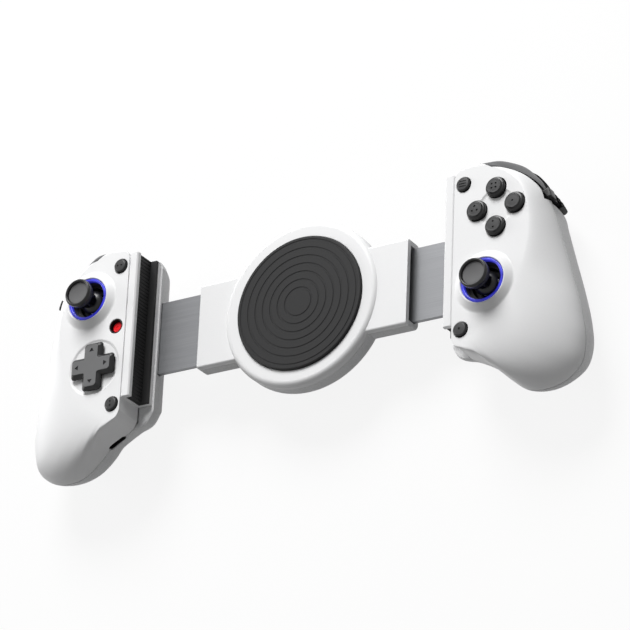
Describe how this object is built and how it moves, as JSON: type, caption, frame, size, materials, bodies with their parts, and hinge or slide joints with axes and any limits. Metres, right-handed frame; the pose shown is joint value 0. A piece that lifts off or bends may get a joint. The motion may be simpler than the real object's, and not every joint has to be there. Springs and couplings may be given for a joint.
{
  "type": "telescopic game controller",
  "caption": "Telescopic handheld game controller: two white grips with sticks, buttons, direction pad, bumpers and triggers on a spring-closed sliding bridge that clamps a handset.",
  "frame": {"origin": "centre of the top face of the round rest pad on the bridge, where the back of the handset lies", "axes": "+X towards the grip under the right hand, +Y towards the shoulder buttons, +Z out of the control face towards the player"},
  "size_m": [0.2548, 0.0973, 0.0436],
  "materials": {
    "white_shell": "white moulded plastic, satin, finely grained at the back",
    "black_rubber": "soft black rubber",
    "mat_silicone": "pale silicone",
    "black_plastic": "black moulded plastic",
    "grey_plastic": "dark grey moulded plastic",
    "red_plastic": "red button, glossy",
    "pale_plastic": "slippery pale plastic",
    "light_guide": "blue translucent light guide",
    "steel": "plated steel",
    "plate_metal": "grey anodised sheet",
    "board": "green board",
    "cell": "wrapped cell"
  },
  "bodies": {
    "bridge": {"hub_front_cover": "white_shell", "hub_rear_cover": "white_shell", "rest_pad": "black_rubber", "hub_screws": "steel", "left_return_spring": "steel", "right_return_spring": "steel"},
    "pinion": {"sync_pinion": "pale_plastic"},
    "left_grip": {"left_slide_plate": "plate_metal", "left_plate_screws": "steel", "left_front_shell": "white_shell", "left_rear_shell": "white_shell", "left_shell_screws": "steel", "left_jaw": "white_shell", "left_jaw_liner": "black_rubber", "left_circuit_board": "board", "left_battery": "cell", "left_light_ring": "light_guide", "left_stick_base": "black_plastic", "left_key_mat": "mat_silicone", "left_shoulder_frame": "black_plastic", "left_trigger_pin": "steel", "left_trigger_spring": "steel", "pad_seat": "black_plastic", "charge_port": "plate_metal"},
    "left_gimbal": {"left_stick_gimbal": "pale_plastic"},
    "left_stick": {"left_stick_shaft": "steel"},
    "left_cap": {"left_stick_cap": "black_rubber"},
    "left_bumper": {"left_bumper": "grey_plastic"},
    "left_trigger": {"left_trigger": "black_plastic"},
    "right_grip": {"right_slide_plate": "plate_metal", "right_plate_screws": "steel", "right_front_shell": "white_shell", "right_rear_shell": "white_shell", "right_shell_screws": "steel", "right_jaw": "white_shell", "right_jaw_liner": "black_rubber", "right_circuit_board": "board", "right_battery": "cell", "right_light_ring": "light_guide", "right_stick_base": "black_plastic", "right_key_mat": "mat_silicone", "right_shoulder_frame": "black_plastic", "right_trigger_pin": "steel", "right_trigger_spring": "steel"},
    "right_gimbal": {"right_stick_gimbal": "pale_plastic"},
    "right_stick": {"right_stick_shaft": "steel"},
    "right_cap": {"right_stick_cap": "black_rubber"},
    "right_bumper": {"right_bumper": "grey_plastic"},
    "right_trigger": {"right_trigger": "black_plastic"},
    "pad_rocker": {"pad_ball": "steel"},
    "pad": {"direction_pad": "grey_plastic"},
    "left_top_button": {"left_top_button": "black_plastic"},
    "left_mode_button": {"left_mode_button": "red_plastic"},
    "left_bottom_button": {"left_bottom_button": "black_plastic"},
    "right_top_button": {"right_top_button": "black_plastic"},
    "right_bottom_button": {"right_bottom_button": "black_plastic"},
    "action_button_top": {"action_button_top": "black_plastic"},
    "action_button_right": {"action_button_right": "black_plastic"},
    "action_button_bottom": {"action_button_bottom": "black_plastic"},
    "action_button_left": {"action_button_left": "black_plastic"}
  },
  "joints": [
    {"name": "left_slide", "type": "slide", "parent": "bridge", "child": "left_grip", "axis": [-1, 0, 0], "range_m": [-0.018, 0.015], "stiffness_N_per_m": 60, "deforming": ["left_return_spring"]},
    {"name": "right_slide", "type": "slide", "parent": "bridge", "child": "right_grip", "axis": [1, 0, 0], "range_m": [-0.018, 0.015], "stiffness_N_per_m": 60, "deforming": ["right_return_spring"]},
    {"name": "pinion_turn", "type": "hinge", "parent": "bridge", "child": "pinion", "pos_m": [0, 0, -0.007], "axis": [0, 0, 1], "range_deg": [-145, 121]},
    {"name": "left_stick_roll", "type": "hinge", "parent": "left_grip", "child": "left_gimbal", "pos_m": [-0.0955, 0.016, 0.0045], "axis": [0, 1, 0], "range_deg": [-13, 13], "stiffness_Nm_per_rad": 0.03},
    {"name": "left_stick_pitch", "type": "hinge", "parent": "left_gimbal", "child": "left_stick", "pos_m": [-0.0955, 0.016, 0.0045], "axis": [1, 0, 0], "range_deg": [-13, 13], "stiffness_Nm_per_rad": 0.03},
    {"name": "left_stick_click", "type": "slide", "parent": "left_stick", "child": "left_cap", "axis": [0, 0, -1], "range_m": [0, 0.0004], "stiffness_N_per_m": 3000},
    {"name": "left_bumper_press", "type": "hinge", "parent": "left_grip", "child": "left_bumper", "pos_m": [-0.09001, 0.03421, 0], "axis": [0, 0, 1], "range_deg": [0, 1.3], "stiffness_Nm_per_rad": 0.4},
    {"name": "left_trigger_pull", "type": "hinge", "parent": "left_grip", "child": "left_trigger", "pos_m": [-0.10062, 0.02449, -0.0088], "axis": [-0.7489, -0.6627, 0], "range_deg": [0, 8], "stiffness_Nm_per_rad": 0.2},
    {"name": "right_stick_roll", "type": "hinge", "parent": "right_grip", "child": "right_gimbal", "pos_m": [0.091, -0.015, 0.0045], "axis": [0, 1, 0], "range_deg": [-13, 13], "stiffness_Nm_per_rad": 0.03},
    {"name": "right_stick_pitch", "type": "hinge", "parent": "right_gimbal", "child": "right_stick", "pos_m": [0.091, -0.015, 0.0045], "axis": [1, 0, 0], "range_deg": [-13, 13], "stiffness_Nm_per_rad": 0.03},
    {"name": "right_stick_click", "type": "slide", "parent": "right_stick", "child": "right_cap", "axis": [0, 0, -1], "range_m": [0, 0.0004], "stiffness_N_per_m": 3000},
    {"name": "right_bumper_press", "type": "hinge", "parent": "right_grip", "child": "right_bumper", "pos_m": [0.09001, 0.03421, 0], "axis": [0, 0, -1], "range_deg": [0, 1.3], "stiffness_Nm_per_rad": 0.4},
    {"name": "right_trigger_pull", "type": "hinge", "parent": "right_grip", "child": "right_trigger", "pos_m": [0.10062, 0.02449, -0.0088], "axis": [-0.7489, 0.6627, 0], "range_deg": [0, 8], "stiffness_Nm_per_rad": 0.2},
    {"name": "pad_tilt_y", "type": "hinge", "parent": "left_grip", "child": "pad_rocker", "pos_m": [-0.091, -0.015, 0.0052], "axis": [0, 1, 0], "range_deg": [-3.5, 3.5], "stiffness_Nm_per_rad": 0.06},
    {"name": "pad_tilt_x", "type": "hinge", "parent": "pad_rocker", "child": "pad", "pos_m": [-0.091, -0.015, 0.0052], "axis": [1, 0, 0], "range_deg": [-3.5, 3.5], "stiffness_Nm_per_rad": 0.06},
    {"name": "left_top_button_press", "type": "slide", "parent": "left_grip", "child": "left_top_button", "axis": [0, 0, -1], "range_m": [0, 0.0007], "stiffness_N_per_m": 800},
    {"name": "left_mode_button_press", "type": "slide", "parent": "left_grip", "child": "left_mode_button", "axis": [0, 0, -1], "range_m": [0, 0.0007], "stiffness_N_per_m": 800},
    {"name": "left_bottom_button_press", "type": "slide", "parent": "left_grip", "child": "left_bottom_button", "axis": [0, 0, -1], "range_m": [0, 0.0007], "stiffness_N_per_m": 800},
    {"name": "right_top_button_press", "type": "slide", "parent": "right_grip", "child": "right_top_button", "axis": [0, 0, -1], "range_m": [0, 0.0007], "stiffness_N_per_m": 800},
    {"name": "right_bottom_button_press", "type": "slide", "parent": "right_grip", "child": "right_bottom_button", "axis": [0, 0, -1], "range_m": [0, 0.0007], "stiffness_N_per_m": 800},
    {"name": "action_button_top_press", "type": "slide", "parent": "right_grip", "child": "action_button_top", "axis": [0, 0, -1], "range_m": [0, 0.0012], "stiffness_N_per_m": 450},
    {"name": "action_button_right_press", "type": "slide", "parent": "right_grip", "child": "action_button_right", "axis": [0, 0, -1], "range_m": [0, 0.0012], "stiffness_N_per_m": 450},
    {"name": "action_button_bottom_press", "type": "slide", "parent": "right_grip", "child": "action_button_bottom", "axis": [0, 0, -1], "range_m": [0, 0.0012], "stiffness_N_per_m": 450},
    {"name": "action_button_left_press", "type": "slide", "parent": "right_grip", "child": "action_button_left", "axis": [0, 0, -1], "range_m": [0, 0.0012], "stiffness_N_per_m": 450}
  ],
  "couplings": [
    {"joint": "right_slide", "follows": "left_slide", "ratio": 1},
    {"joint": "pinion_turn", "follows": "left_slide", "rad_per_m": 138.89}
  ]
}
